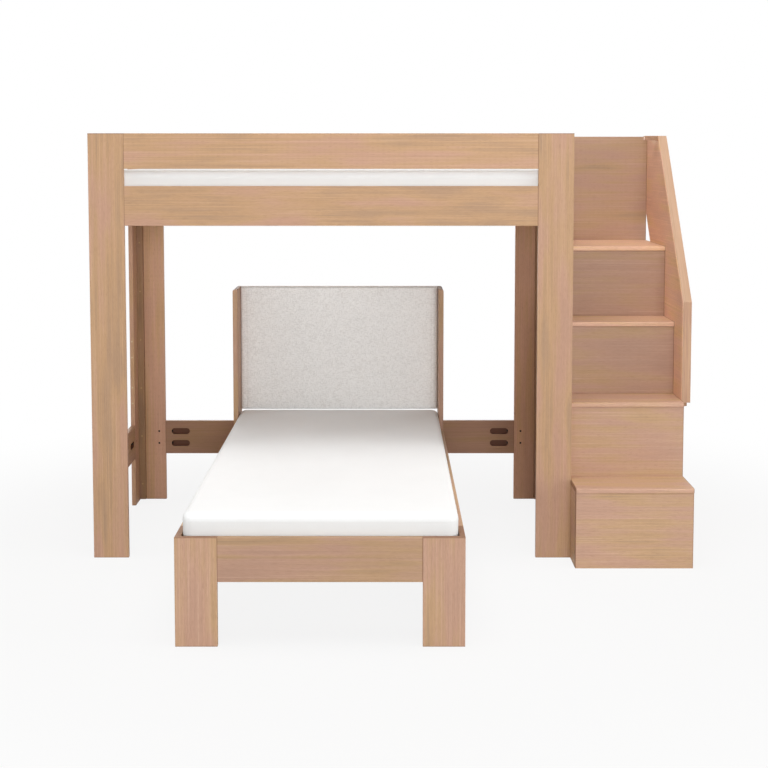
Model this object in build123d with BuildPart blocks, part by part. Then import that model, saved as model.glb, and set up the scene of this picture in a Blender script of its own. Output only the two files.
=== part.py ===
from build123d import *
import math
import os

os.makedirs("parts", exist_ok=True)

# L-shaped bunk bed: a loft bed, a second bed that stands by itself across it underneath, and
# a closed stair at the loft's right end. Millimetres, +Z up, the front towards -Y. The origin
# is on the floor below the middle of the whole bed's outline.

# Boards and clearances
plank = 20                     # thickness of planks, rails, treads and panels
eased = 1                      # radius sanded on the edges of the boards
overrun = 5                    # how far a cut starts outside the wood
lift_gap = 0.3                 # between a mattress and what it lies on

# Loft bed
loft_length = 2030
loft_depth = 1012
loft_height = 1802
post_width = 148               # outside width of each post, an L of two planks
guard_height = 148
loft_rail_bottom = 1416
loft_rail_height = 166
stretcher_bottom = 231
stretcher_height = 164
entry_width = 400              # way in from the landing, in front of the rear right post
stile_width = 60

# Lower bed
bed_width = 1012
bed_length = 2030
bed_reach = 1053               # how far it stands out in front of the loft
bed_rail_bottom = 230
bed_rail_height = 158
wing_thickness = 22
wing_depth = 181
wing_round = 11                # radius along the wings' top outer edge
headboard_bottom = 463
headboard_height = 607
pad_thickness = 23
pad_crown = 3
pad_round = 9
pad_gap = 0.5                  # beside the wings

# Battens and slats of both beds
batten_width = 30              # corner battens, along X
batten_depth = 28              # corner battens, along Y
batten_foot = 6                # how high the corner battens stop above the floor
ledger_width = 20
ledger_height = 32
bed_ledger_lift = 6            # above the bottom of the lower bed's rails
slat_width = 70
slat_thickness = 20
slat_count = 14
slat_margin = 30               # from the end rails to the outer slats
slat_gap = 4                   # at each end of a slat

# Mattresses
mattress_length = 1960
mattress_width = 968
mattress_thickness = 180
mattress_corner = 40           # radius of the corners, seen from above
mattress_edge = 24             # radius along the top and bottom edges
mattress_crown = 4
bed_mattress_front_gap = 3     # behind the lower bed's front rail

# Stair
stair_width = 489
stair_reach = 153              # how far the first riser stands in front of the loft
step_count = 4
first_rise = 337
rise = 320
run = 218
nosing = 5
tread_round = 4
landing_depth = 464            # from the top riser to the rear guard panel
rear_guard_height = 700
cleat = 20

# Slanted guard board on the stair's right side; its places are behind the loft's front
guard_thickness = 39
guard_round = 8
guard_start = 118
guard_foot_height = 646
guard_foot_length = 193
guard_front_height = 436
guard_top_start = 702
guard_tail_height = 353
top_cleat_width = 61           # block inside the guard board, at the top of its slope
top_cleat_depth = 40
ledge_width = 24
ledge_height = 15

# Bolted joints: an M6 bolt from a pocket in the rail to a barrel nut in the post
bolt = 6
bolt_way = 6.6
bolt_length = 70
bolt_seat = 30                 # wood between the rail's end and its pocket
bolt_tip_gap = 2
bolt_head = 10
bolt_seat_face = 10.8          # flat cut for the head in the pocket's round end
bolt_head_height = 6
bolt_key = 5
bolt_key_depth = 3
bolt_pitch = 60
pocket_length = 90
pocket_height = 30
pocket_depth = 15.5
nut = 9.8
nut_hole = 10
nut_bore = 6.2
nut_length = 14
nut_setback = 32
nut_slot = 1.4

# Countersunk screws
screw = 4
screw_head = 8
screw_head_depth = 2.6
screw_tip = 5
screw_recess = 4.4
screw_recess_width = 1
screw_recess_depth = 1.6
screw_fit = 0.1                # all round a screw in its hole
short_screw = 35
batten_screw = 40
guard_screw = 50
long_screw = 80
batten_screw_start = 84
batten_screw_pitch = 240
side_screw_offset = 100        # the battens' second row of screws stands this much higher
ledger_screw_count = 8
ledger_screw_inset = 60

# Plugged holes in the free edges of the loft's side planks
plug = 8
plug_depth = 12
plug_start = 505
plug_pitch = 78
plug_pair_pitch = 226

# Tie bolts between the stair and the loft
tie_head = 16
tie_head_height = 2
tie_sleeve = 9
tie_sleeve_hole = 9.4
tie_bolt_gap = 4               # between the bolt's tip and the end of its sleeve
tie_inset = 125                # from the loft's outer corners
tie_low = 160
tie_front_high = 480
tie_rear_high = 1180

# The whole bed's outline, and where each part of it lies
loft_left = -(loft_length + stair_width + guard_thickness) / 2
loft_right = loft_left + loft_length
loft_front = (bed_reach - loft_depth) / 2
loft_rear = loft_front + loft_depth
loft_middle = (loft_left + loft_right) / 2
bed_left = loft_middle - bed_width / 2
bed_right = loft_middle + bed_width / 2
bed_front = loft_front - bed_reach
bed_rear = bed_front + bed_length
guard_bottom = loft_height - guard_height
stair_left = loft_right
stair_right = stair_left + stair_width
stair_front = loft_front - stair_reach
risers = [stair_front + run * step for step in range(step_count)]
tops = [first_rise + rise * step for step in range(step_count)]
stair_back = risers[-1] + landing_depth

loft_corners = {
    "front_left": (loft_left, loft_front, 1, 1),
    "front_right": (loft_right, loft_front, -1, 1),
    "rear_left": (loft_left, loft_rear, 1, -1),
    "rear_right": (loft_right, loft_rear, -1, -1),
}
bed_corners = {
    "left": (bed_left, bed_front, 1, 1),
    "right": (bed_right, bed_front, -1, 1),
}


def between(a, b):
    return (min(a, b), max(a, b))


def board(x, y, z):
    """Add a square-edged board that fills three pairs of limits."""
    with Locations((x[0], y[0], z[0])):
        Box(x[1] - x[0], y[1] - y[0], z[1] - z[0], align=(Align.MIN, Align.MIN, Align.MIN))


def write(piece, name):
    piece.part.label = name
    export_step(piece.part, f"parts/{name}.step")


def cut(tool, places):
    """Take a tool's shape away at each place."""
    with Locations(*places):
        add(tool, mode=Mode.SUBTRACT)


def x_joint(corner, height):
    """Bolt place where a rail along X meets a corner: z into the post, x to the inside."""
    x, y, in_x, in_y = corner
    origin = (x + in_x * post_width, y + in_y * plank / 2, height)
    return Plane(origin=origin, x_dir=(0, in_y, 0), z_dir=(-in_x, 0, 0))


def y_joint(corner, height):
    """Bolt place where a rail along Y meets a corner: z into the post, x to the inside."""
    x, y, in_x, in_y = corner
    origin = (x + in_x * plank / 2, y + in_y * post_width, height)
    return Plane(origin=origin, x_dir=(in_x, 0, 0), z_dir=(0, -in_y, 0))


def bolt_pair(bottom, height):
    middle = bottom + height / 2
    return [middle - bolt_pitch / 2, middle + bolt_pitch / 2]


def evenly(start, end, count):
    return [start + (end - start) * step / (count - 1) for step in range(count)]


# Bolt and barrel nut, at the origin of a joint, with z into the post and x to the inside
with BuildPart() as bolt_shape:
    with BuildSketch(Plane.XY.offset(-bolt_seat)):
        Circle(bolt / 2)
    extrude(amount=bolt_length)
    with BuildSketch(Plane.XY.offset(-bolt_seat)):
        Circle(bolt_head / 2)
    extrude(amount=-bolt_head_height)
    with BuildSketch(Plane.XY.offset(-bolt_seat - bolt_head_height)):
        RegularPolygon(bolt_key / 2, 6, major_radius=False)
    extrude(amount=bolt_key_depth, mode=Mode.SUBTRACT)

nut_middle = Plane(origin=(0, 0, nut_setback), x_dir=(0, 1, 0), z_dir=(1, 0, 0))
with BuildPart() as nut_shape:
    with BuildSketch(nut_middle):
        Circle(nut / 2)
    extrude(amount=nut_length / 2, both=True)
    with BuildSketch(Plane.XY.offset(nut_setback)):
        Circle(nut_bore / 2)
    extrude(amount=nut, both=True, mode=Mode.SUBTRACT)
    with BuildSketch(nut_middle.offset(nut_length / 2)):
        Rectangle(nut, nut_slot)
    extrude(amount=-nut_slot, mode=Mode.SUBTRACT)

# What a rail loses at a bolt: the bolt's way and a round-ended pocket in the inner face
pocket_face = Plane(
    origin=(plank / 2 + overrun, 0, -bolt_seat - pocket_length / 2), x_dir=(0, 0, 1), z_dir=(1, 0, 0)
)
with BuildPart() as rail_cut:
    with BuildSketch(Plane.XY.offset(overrun)):
        Circle(bolt_way / 2)
    extrude(amount=-(bolt_seat + 2 * overrun))
    with BuildSketch(pocket_face):
        SlotOverall(pocket_length, pocket_height)
    extrude(amount=-(pocket_depth + overrun))
    with BuildSketch(Plane.XY.offset(-bolt_seat)):
        Circle(bolt_seat_face / 2)
    extrude(amount=-pocket_height / 2)

# What a post's plank loses: the bolt's way and the nut's hole in the inner face
with BuildPart() as post_cut:
    with BuildSketch(Plane.XY.offset(-overrun)):
        Circle(bolt_way / 2)
    extrude(amount=bolt_length - bolt_seat + bolt_tip_gap + overrun)
    with BuildSketch(nut_middle.offset(plank / 2 + overrun)):
        Circle(nut_hole / 2)
    extrude(amount=-(plank / 2 + nut_length / 2 + overrun))


def screw_shape(length, fit=0.0):
    """A countersunk screw, its head up at the origin, or with a fit its hole."""
    with BuildPart() as shape:
        with BuildSketch(Plane.XZ):
            with BuildLine():
                Polyline(
                    (0, 0),
                    (screw_head / 2 + fit, 0),
                    (screw / 2 + fit, -screw_head_depth - fit),
                    (screw / 2 + fit, -(length - screw_tip)),
                    (0, -length - fit),
                    close=True,
                )
            make_face()
        revolve(axis=Axis.Z)
        if not fit:
            with BuildSketch():
                Rectangle(screw_recess, screw_recess_width)
                Rectangle(screw_recess_width, screw_recess)
            extrude(amount=-screw_recess_depth, mode=Mode.SUBTRACT)
    return shape.part


short_screw_shape = screw_shape(short_screw)
short_screw_hole = screw_shape(short_screw, screw_fit)
batten_screw_shape = screw_shape(batten_screw)
batten_screw_hole = screw_shape(batten_screw, screw_fit)
guard_screw_shape = screw_shape(guard_screw)
guard_screw_hole = screw_shape(guard_screw, screw_fit)
long_screw_shape = screw_shape(long_screw)
long_screw_hole = screw_shape(long_screw, screw_fit)


def batten_screws(corner, heights):
    """Screw places on a corner batten: first along Y into the face plank, then along X."""
    x, y, in_x, in_y = corner
    face_x = x + in_x * (plank + batten_width / 2)
    face_y = y + in_y * (plank + batten_depth)
    side_x = x + in_x * (plank + batten_width)
    side_y = y + in_y * (plank + batten_depth / 2)
    into_face = [Plane(origin=(face_x, face_y, h), z_dir=(0, in_y, 0)) for h in heights]
    into_side = [
        Plane(origin=(side_x, side_y, h + side_screw_offset), z_dir=(in_x, 0, 0)) for h in heights
    ]
    return into_face, into_side


# Loft bed: the bolts in each plank of each post
guard_bolts = bolt_pair(guard_bottom, guard_height)
loft_rail_bolts = bolt_pair(loft_rail_bottom, loft_rail_height)
rear_stretcher_bolts = bolt_pair(stretcher_bottom, stretcher_height)
end_stretcher_bolts = [stretcher_bottom + stretcher_height / 2]

face_bolts = {name: guard_bolts + loft_rail_bolts for name in loft_corners}
for name in ("rear_left", "rear_right"):
    face_bolts[name] = face_bolts[name] + rear_stretcher_bolts
side_bolts = {name: guard_bolts + loft_rail_bolts + end_stretcher_bolts for name in loft_corners}
side_bolts["rear_right"] = loft_rail_bolts + end_stretcher_bolts

batten_screw_rows = 1 + int((loft_rail_bottom - ledger_height - batten_screw_start) // batten_screw_pitch)
batten_heights = [batten_screw_start + batten_screw_pitch * row for row in range(batten_screw_rows)]

plug_heights = [
    plug_start + pair * plug_pair_pitch + single * plug_pitch for pair in range(2) for single in range(2)
]

# Tie bolts: places on the outer face of the loft's right side planks, z into the stair
tie_places = [
    Plane(origin=(loft_right, y, h), z_dir=(1, 0, 0))
    for y, heights in (
        (loft_front + tie_inset, (tie_low, tie_front_high)),
        (loft_rear - tie_inset, (tie_low, tie_rear_high)),
    )
    for h in heights
]
with BuildPart() as tie_cut:
    with BuildSketch(Plane.XY.offset(-plank - overrun)):
        Circle(tie_sleeve_hole / 2)
    extrude(amount=2 * (plank + overrun))

# Ledger screws: places on the front and rear ledgers of the loft
loft_ledger_screws = {
    side: [
        Plane(origin=(x, y + in_y * (plank + ledger_width), loft_rail_bottom + ledger_height / 2),
              z_dir=(0, in_y, 0))
        for x in evenly(
            loft_left + plank + ledger_screw_inset,
            loft_right - plank - ledger_screw_inset,
            ledger_screw_count,
        )
    ]
    for side, y, in_y in (("front", loft_front, 1), ("rear", loft_rear, -1))
}

loft_bolt_places = []
loft_batten_screw_places = []

for name, corner in loft_corners.items():
    x, y, in_x, in_y = corner
    face_places = [x_joint(corner, h) for h in face_bolts[name]]
    side_places = [y_joint(corner, h) for h in side_bolts[name]]
    into_face, into_side = batten_screws(corner, batten_heights)
    loft_bolt_places += face_places + side_places
    loft_batten_screw_places += into_face + into_side
    row = loft_ledger_screws["front" if in_y > 0 else "rear"]
    face_span = between(x, x + in_x * post_width)
    own_ledger_screws = [place for place in row if face_span[0] < place.origin.X < face_span[1]]

    with BuildPart() as face_plank:
        board(face_span, between(y, y + in_y * plank), (0, loft_height))
        fillet(face_plank.edges(), eased)
        cut(post_cut.part, face_places)
        cut(batten_screw_hole, into_face)
        cut(short_screw_hole, own_ledger_screws)
    write(face_plank, f"loft_post_{name}_face_plank")

    with BuildPart() as side_plank:
        board(
            between(x, x + in_x * plank),
            between(y + in_y * plank, y + in_y * post_width),
            (0, loft_height),
        )
        fillet(side_plank.edges(), eased)
        cut(post_cut.part, side_places)
        cut(batten_screw_hole, into_side)
        with BuildSketch(Plane(origin=(x + in_x * plank / 2, y + in_y * post_width, 0),
                               x_dir=(0, 0, 1), z_dir=(0, in_y, 0))):
            with Locations(*[(h, 0) for h in plug_heights]):
                Circle(plug / 2)
        extrude(amount=-plug_depth, mode=Mode.SUBTRACT)
        if in_x < 0:
            cut(tie_cut.part, tie_places)
    write(side_plank, f"loft_post_{name}_side_plank")

with BuildPart() as loft_plugs:
    for x, y, in_x, in_y in loft_corners.values():
        with BuildSketch(Plane(origin=(x + in_x * plank / 2, y + in_y * post_width, 0),
                               x_dir=(0, 0, 1), z_dir=(0, in_y, 0))):
            with Locations(*[(h, 0) for h in plug_heights]):
                Circle(plug / 2)
        extrude(amount=-plug_depth)
write(loft_plugs, "loft_edge_plugs")

# Loft bed: corner battens under the ledgers, and the ledgers that carry the slats
slats_start = loft_left + plank + slat_margin + slat_width / 2
slats_end = loft_right - plank - slat_margin - slat_width / 2
loft_slat_places = evenly(slats_start, slats_end, slat_count)
loft_slat_bottom = loft_rail_bottom + ledger_height
loft_slat_top = loft_slat_bottom + slat_thickness
slat_screw_inset = plank + ledger_width / 2
loft_slat_screws = [
    Plane(origin=(x, y, loft_slat_top))
    for x in loft_slat_places
    for y in (loft_front + slat_screw_inset, loft_rear - slat_screw_inset)
]

with BuildPart() as loft_battens:
    for x, y, in_x, in_y in loft_corners.values():
        board(
            between(x + in_x * plank, x + in_x * (plank + batten_width)),
            between(y + in_y * plank, y + in_y * (plank + batten_depth)),
            (batten_foot, loft_rail_bottom),
        )
    cut(batten_screw_hole, loft_batten_screw_places)
with BuildPart() as loft_ledgers:
    for y, in_y in ((loft_front, 1), (loft_rear, -1)):
        board(
            (loft_left + plank, loft_right - plank),
            between(y + in_y * plank, y + in_y * (plank + ledger_width)),
            (loft_rail_bottom, loft_slat_bottom),
        )
    cut(short_screw_hole, loft_ledger_screws["front"] + loft_ledger_screws["rear"] + loft_slat_screws)
loft_carriers = Compound(children=[*loft_battens.part.solids(), *loft_ledgers.part.solids()])
loft_carriers.label = "loft_battens_and_ledgers"
export_step(loft_carriers, "parts/loft_battens_and_ledgers.step")

with BuildPart() as loft_slats:
    for x in loft_slat_places:
        board(
            (x - slat_width / 2, x + slat_width / 2),
            (loft_front + plank + slat_gap, loft_rear - plank - slat_gap),
            (loft_slat_bottom, loft_slat_top),
        )
    fillet(loft_slats.edges(), eased)
    cut(short_screw_hole, loft_slat_screws)
write(loft_slats, "loft_slats")

# Loft bed: rails along X, between the face planks
x_rails = (
    ("loft_front_guard_rail", "front", guard_bottom, guard_height, guard_bolts),
    ("loft_rear_guard_rail", "rear", guard_bottom, guard_height, guard_bolts),
    ("loft_front_side_rail", "front", loft_rail_bottom, loft_rail_height, loft_rail_bolts),
    ("loft_rear_side_rail", "rear", loft_rail_bottom, loft_rail_height, loft_rail_bolts),
    ("loft_rear_stretcher", "rear", stretcher_bottom, stretcher_height, rear_stretcher_bolts),
)
for name, side, bottom, height, bolts in x_rails:
    left, right = loft_corners[f"{side}_left"], loft_corners[f"{side}_right"]
    y, in_y = left[1], left[3]
    with BuildPart() as rail:
        board(
            (loft_left + post_width, loft_right - post_width),
            between(y, y + in_y * plank),
            (bottom, bottom + height),
        )
        fillet(rail.edges(), eased)
        cut(rail_cut.part, [x_joint(corner, h) for corner in (left, right) for h in bolts])
        if bottom == loft_rail_bottom:
            cut(short_screw_hole, loft_ledger_screws[side])
    write(rail, name)

# Loft bed: rails along Y, between the side planks. The right guard rail stops at a stile, so
# that the rest of that end is the way in from the landing.
entry_front = loft_rear - post_width - entry_width
stile_screws = [
    Plane(origin=(loft_right + plank, entry_front - stile_width / 2, h), z_dir=(1, 0, 0))
    for h in guard_bolts + loft_rail_bolts
]
y_rails = (
    ("loft_left_guard_rail", "left", guard_bottom, guard_height, guard_bolts),
    ("loft_right_guard_rail", "right", guard_bottom, guard_height, guard_bolts),
    ("loft_left_end_rail", "left", loft_rail_bottom, loft_rail_height, loft_rail_bolts),
    ("loft_right_end_rail", "right", loft_rail_bottom, loft_rail_height, loft_rail_bolts),
    ("loft_left_stretcher", "left", stretcher_bottom, stretcher_height, end_stretcher_bolts),
    ("loft_right_stretcher", "right", stretcher_bottom, stretcher_height, end_stretcher_bolts),
)
for name, side, bottom, height, bolts in y_rails:
    front, rear = loft_corners[f"front_{side}"], loft_corners[f"rear_{side}"]
    x, in_x = front[0], front[2]
    short = side == "right" and bottom == guard_bottom
    ends = (front,) if short else (front, rear)
    with BuildPart() as rail:
        board(
            between(x, x + in_x * plank),
            (loft_front + post_width, entry_front if short else loft_rear - post_width),
            (bottom, bottom + height),
        )
        fillet(rail.edges(), eased)
        cut(rail_cut.part, [y_joint(corner, h) for corner in ends for h in bolts])
        if side == "right" and bottom != stretcher_bottom:
            cut(short_screw_hole, stile_screws)
    write(rail, name)

with BuildPart() as stile:
    board(
        (loft_right, loft_right + plank),
        (entry_front - stile_width, entry_front),
        (loft_rail_bottom, loft_height),
    )
    fillet(stile.edges(), eased)
    cut(short_screw_hole, stile_screws)
write(stile, "loft_entry_stile")

with BuildPart() as loft_connectors:
    with Locations(*loft_bolt_places):
        add(bolt_shape.part)
        add(nut_shape.part)
write(loft_connectors, "loft_bolts_and_barrel_nuts")

with BuildPart() as loft_screws:
    with Locations(*loft_batten_screw_places):
        add(batten_screw_shape)
    with Locations(*loft_ledger_screws["front"], *loft_ledger_screws["rear"]):
        add(short_screw_shape)
    with Locations(*loft_slat_screws, *stile_screws):
        add(short_screw_shape)
write(loft_screws, "loft_screws")


# Stair: treads on the side panels, risers on the treads and in front of the panels
stair_span = (stair_left, stair_right)
behind_risers = [face + plank for face in risers] + [stair_back]
cleat_sides = ((stair_left + plank, 1), (stair_right - plank, -1))

tread_cleats = []
riser_cleats = []
panel_screws = {1: [], -1: []}
tread_screws = []
riser_screws = []
for step in range(step_count):
    under = tops[step] - plank
    floor = tops[step - 1] if step else 0
    for x, in_x in cleat_sides:
        across = between(x, x + in_x * cleat)
        along = (behind_risers[step], behind_risers[step + 1])
        tread_cleats.append((across, along, (under - cleat, under)))
        riser_cleats.append((across, (along[0], along[0] + cleat), (floor, under - cleat)))
        for y in evenly(along[0] + 2 * cleat, along[1] - cleat, 2):
            panel_screws[in_x].append(
                Plane(origin=(x + in_x * cleat, y, under - cleat / 2), z_dir=(in_x, 0, 0))
            )
        for z in evenly(floor + 2 * cleat, under - 3 * cleat, 2):
            panel_screws[in_x].append(
                Plane(origin=(x + in_x * cleat, along[0] + cleat / 2, z), z_dir=(in_x, 0, 0))
            )
        middle = (along[0] + along[1]) / 2
        tread_screws.append(Plane(origin=(x + in_x * cleat / 2, middle, under - cleat), z_dir=(0, 0, -1)))
        middle = (floor + under - cleat) / 2
        riser_screws.append(
            Plane(origin=(x + in_x * cleat / 2, along[0] + cleat, middle), z_dir=(0, 1, 0))
        )

for step in range(step_count):
    with BuildPart() as tread:
        board(stair_span, (risers[step] - nosing, behind_risers[step + 1]), (tops[step] - plank, tops[step]))
        fillet(tread.edges().group_by(Axis.Y)[0].filter_by(Axis.X), tread_round)
        fillet(tread.faces().sort_by(Axis.Y)[-1].edges(), eased)
        cut(short_screw_hole, tread_screws)
    write(tread, f"stair_tread_{step + 1}")

    floor = tops[step - 1] if step else 0
    with BuildPart() as riser:
        board(stair_span, (risers[step], risers[step] + plank), (floor, tops[step] - plank))
        fillet(riser.edges(), eased)
        cut(short_screw_hole, riser_screws)
    write(riser, f"stair_riser_{step + 1}")

cleat_solids = []
for cleats in (tread_cleats, riser_cleats):
    with BuildPart() as cleat_row:
        for across, along, height in cleats:
            board(across, along, height)
        cut(short_screw_hole, panel_screws[1] + panel_screws[-1] + tread_screws + riser_screws)
    cleat_solids += cleat_row.part.solids()
stair_cleats = Compound(children=cleat_solids)
stair_cleats.label = "stair_cleats"
export_step(stair_cleats, "parts/stair_cleats.step")

# Stair: rear guard panel behind the landing, and the back panel below it, screwed to the sides
guard_low = loft_height - rear_guard_height
rear_face = stair_back + plank
rear_screws = [
    Plane(origin=(x, rear_face, h), z_dir=(0, 1, 0))
    for x in (stair_left + plank / 2, stair_right - plank / 2)
    for h in evenly(ledger_screw_inset, tops[-1] - plank - ledger_screw_inset, 5)
]
# Screws from the slanted guard board's outer face into the end of the rear guard panel
guard_end_screws = [
    Plane(origin=(stair_right + guard_thickness, rear_face - plank / 2, h), z_dir=(1, 0, 0))
    for h in evenly(loft_height - guard_tail_height + ledger_screw_inset, loft_height - ledger_screw_inset, 2)
]
with BuildPart() as rear_guard:
    board(stair_span, (stair_back, rear_face), (guard_low, loft_height))
    fillet(rear_guard.edges(), eased)
    cut(short_screw_hole, rear_screws)
    cut(long_screw_hole, guard_end_screws)
write(rear_guard, "stair_rear_guard_panel")

with BuildPart() as back_panel:
    board(stair_span, (stair_back, rear_face), (0, guard_low))
    fillet(back_panel.edges(), eased)
    cut(short_screw_hole, rear_screws)
write(back_panel, "stair_back_panel")

# Stair: the slanted guard board's outline, and the screws that reach it through the side panel
guard_y = loft_front + guard_start
guard_foot_end = guard_y + guard_foot_length
guard_slant = loft_front + guard_top_start
guard_nose_top = guard_foot_height + guard_front_height
guard_outline = (
    (guard_y, guard_foot_height),
    (guard_y, guard_nose_top),
    (guard_slant, loft_height),
    (rear_face, loft_height),
    (rear_face, loft_height - guard_tail_height),
    (guard_foot_end, guard_foot_height),
)
under_slope = (loft_height - guard_tail_height - guard_foot_height) / (rear_face - guard_foot_end)
guard_screws = [
    Plane(
        origin=(stair_right - plank, y, guard_foot_height + (y - guard_foot_end) * under_slope + above),
        z_dir=(-1, 0, 0),
    )
    for y in (risers[-2] + run * 3 / 5, risers[-1] + run * 3 / 5)
    for above in (3 * cleat, 6 * cleat)
]

top_cleat_screw = Plane(
    origin=(stair_right - top_cleat_width, guard_slant + top_cleat_depth / 2, loft_height - plank / 2),
    z_dir=(-1, 0, 0),
)

side_outline = [(behind_risers[0], 0)]
for step in range(step_count):
    side_outline.append((behind_risers[step], tops[step] - plank))
    side_outline.append((behind_risers[step + 1], tops[step] - plank))
side_outline.append((stair_back, 0))

for name, x, in_x in (("left", stair_left, 1), ("right", stair_right - plank, -1)):
    with BuildPart() as side_panel:
        with BuildSketch(Plane.YZ.offset(x)):
            with BuildLine():
                Polyline(*side_outline, close=True)
            make_face()
        extrude(amount=plank)
        cut(short_screw_hole, panel_screws[in_x] + rear_screws)
        if in_x > 0:
            cut(tie_cut.part, tie_places)
        else:
            cut(guard_screw_hole, guard_screws)
    write(side_panel, f"stair_{name}_side_panel")

with BuildPart() as guard_board:
    with BuildSketch(Plane.YZ.offset(stair_right)):
        with BuildLine():
            Polyline(*guard_outline, close=True)
        make_face()
    extrude(amount=guard_thickness)
    fillet(guard_board.faces().sort_by(Axis.X)[-1].edges(), eased)
    inner = guard_board.faces().sort_by(Axis.X)[0].edges()
    front_edge = (stair_right, guard_y, guard_foot_height + guard_front_height / 2)
    slant_edge = (stair_right, (guard_y + guard_slant) / 2, (guard_nose_top + loft_height) / 2)
    fillet([inner.sort_by_distance(middle)[0] for middle in (front_edge, slant_edge)], guard_round)
    cut(guard_screw_hole, guard_screws)
    cut(long_screw_hole, guard_end_screws + [top_cleat_screw])
write(guard_board, "stair_guard_board")

with BuildPart() as top_cleat:
    board(
        (stair_right - top_cleat_width, stair_right),
        (guard_slant, guard_slant + top_cleat_depth),
        (loft_height - plank, loft_height),
    )
    fillet(top_cleat.edges(), eased)
    cut(long_screw_hole, [top_cleat_screw])
write(top_cleat, "stair_guard_top_cleat")

with BuildPart() as ledge:
    board(
        (stair_right, stair_right + ledge_width),
        (guard_y, guard_foot_end),
        (guard_foot_height - ledge_height, guard_foot_height),
    )
    fillet(ledge.edges(), eased)
write(ledge, "stair_guard_ledge")

# Stair: screws, and the tie bolts with their sleeve nuts, heads against the two inner faces
with BuildPart() as tie_bolt:
    with BuildSketch(Plane.XY.offset(plank)):
        Circle(tie_head / 2)
    extrude(amount=tie_head_height)
    with BuildSketch(Plane.XY.offset(plank)):
        Circle(bolt / 2)
    extrude(amount=-(2 * plank - tie_head_height - tie_bolt_gap))
with BuildPart() as tie_nut:
    with BuildSketch(Plane.XY.offset(-plank)):
        Circle(tie_head / 2)
    extrude(amount=-tie_head_height)
    with BuildSketch(Plane.XY.offset(-plank)):
        Circle(tie_sleeve / 2)
    extrude(amount=2 * plank - tie_head_height)
    with BuildSketch(Plane.XY.offset(plank)):
        Circle(nut_bore / 2)
    extrude(amount=-(2 * plank - tie_head_height), mode=Mode.SUBTRACT)
with BuildPart() as stair_fasteners:
    with Locations(*panel_screws[1], *panel_screws[-1], *tread_screws, *riser_screws):
        add(short_screw_shape)
    with Locations(*rear_screws):
        add(short_screw_shape)
    with Locations(*guard_end_screws, top_cleat_screw):
        add(long_screw_shape)
    with Locations(*guard_screws):
        add(guard_screw_shape)
    with Locations(*tie_places):
        add(tie_bolt.part)
        add(tie_nut.part)
write(stair_fasteners, "stair_screws_and_tie_bolts")


# Lower bed: front legs, rails and the headboard's wings, which are its rear legs
bed_rail_top = bed_rail_bottom + bed_rail_height
bed_bolts = bolt_pair(bed_rail_bottom, bed_rail_height)
wing_front = bed_rear - wing_depth
leg_screw_heights = [batten_screw_start]
bed_joints = []
leg_screw_places = []
bed_ledger_bottom = bed_rail_bottom + bed_ledger_lift
bed_slat_bottom = bed_ledger_bottom + ledger_height
bed_slat_top = bed_slat_bottom + slat_thickness

bed_ledger_screws = {
    side: [
        Plane(origin=(x + in_x * (plank + ledger_width), y, bed_ledger_bottom + ledger_height / 2),
              z_dir=(in_x, 0, 0))
        for y in evenly(
            bed_front + plank + ledger_screw_inset, wing_front - ledger_screw_inset, ledger_screw_count
        )
    ]
    for side, (x, y, in_x, in_y) in bed_corners.items()
}
wing_ledger_screws = {
    side: [
        Plane(origin=(x + in_x * (wing_thickness + ledger_width), y,
                      bed_ledger_bottom + ledger_height / 2), z_dir=(in_x, 0, 0))
        for y in evenly(wing_front + ledger_width, bed_rear - plank - 2 * ledger_width, 2)
    ]
    for side, (x, y, in_x, in_y) in bed_corners.items()
}
# Screws from the wings' outer faces into the ends of the head rail and the headboard panel
headboard_top = headboard_bottom + headboard_height
wing_screw_heights = bed_bolts + evenly(
    headboard_bottom + ledger_screw_inset, headboard_top - ledger_screw_inset, 3
)
wing_screws = {
    side: [
        Plane(origin=(x, bed_rear - plank / 2, h), z_dir=(-in_x, 0, 0)) for h in wing_screw_heights
    ]
    for side, (x, y, in_x, in_y) in bed_corners.items()
}

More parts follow.
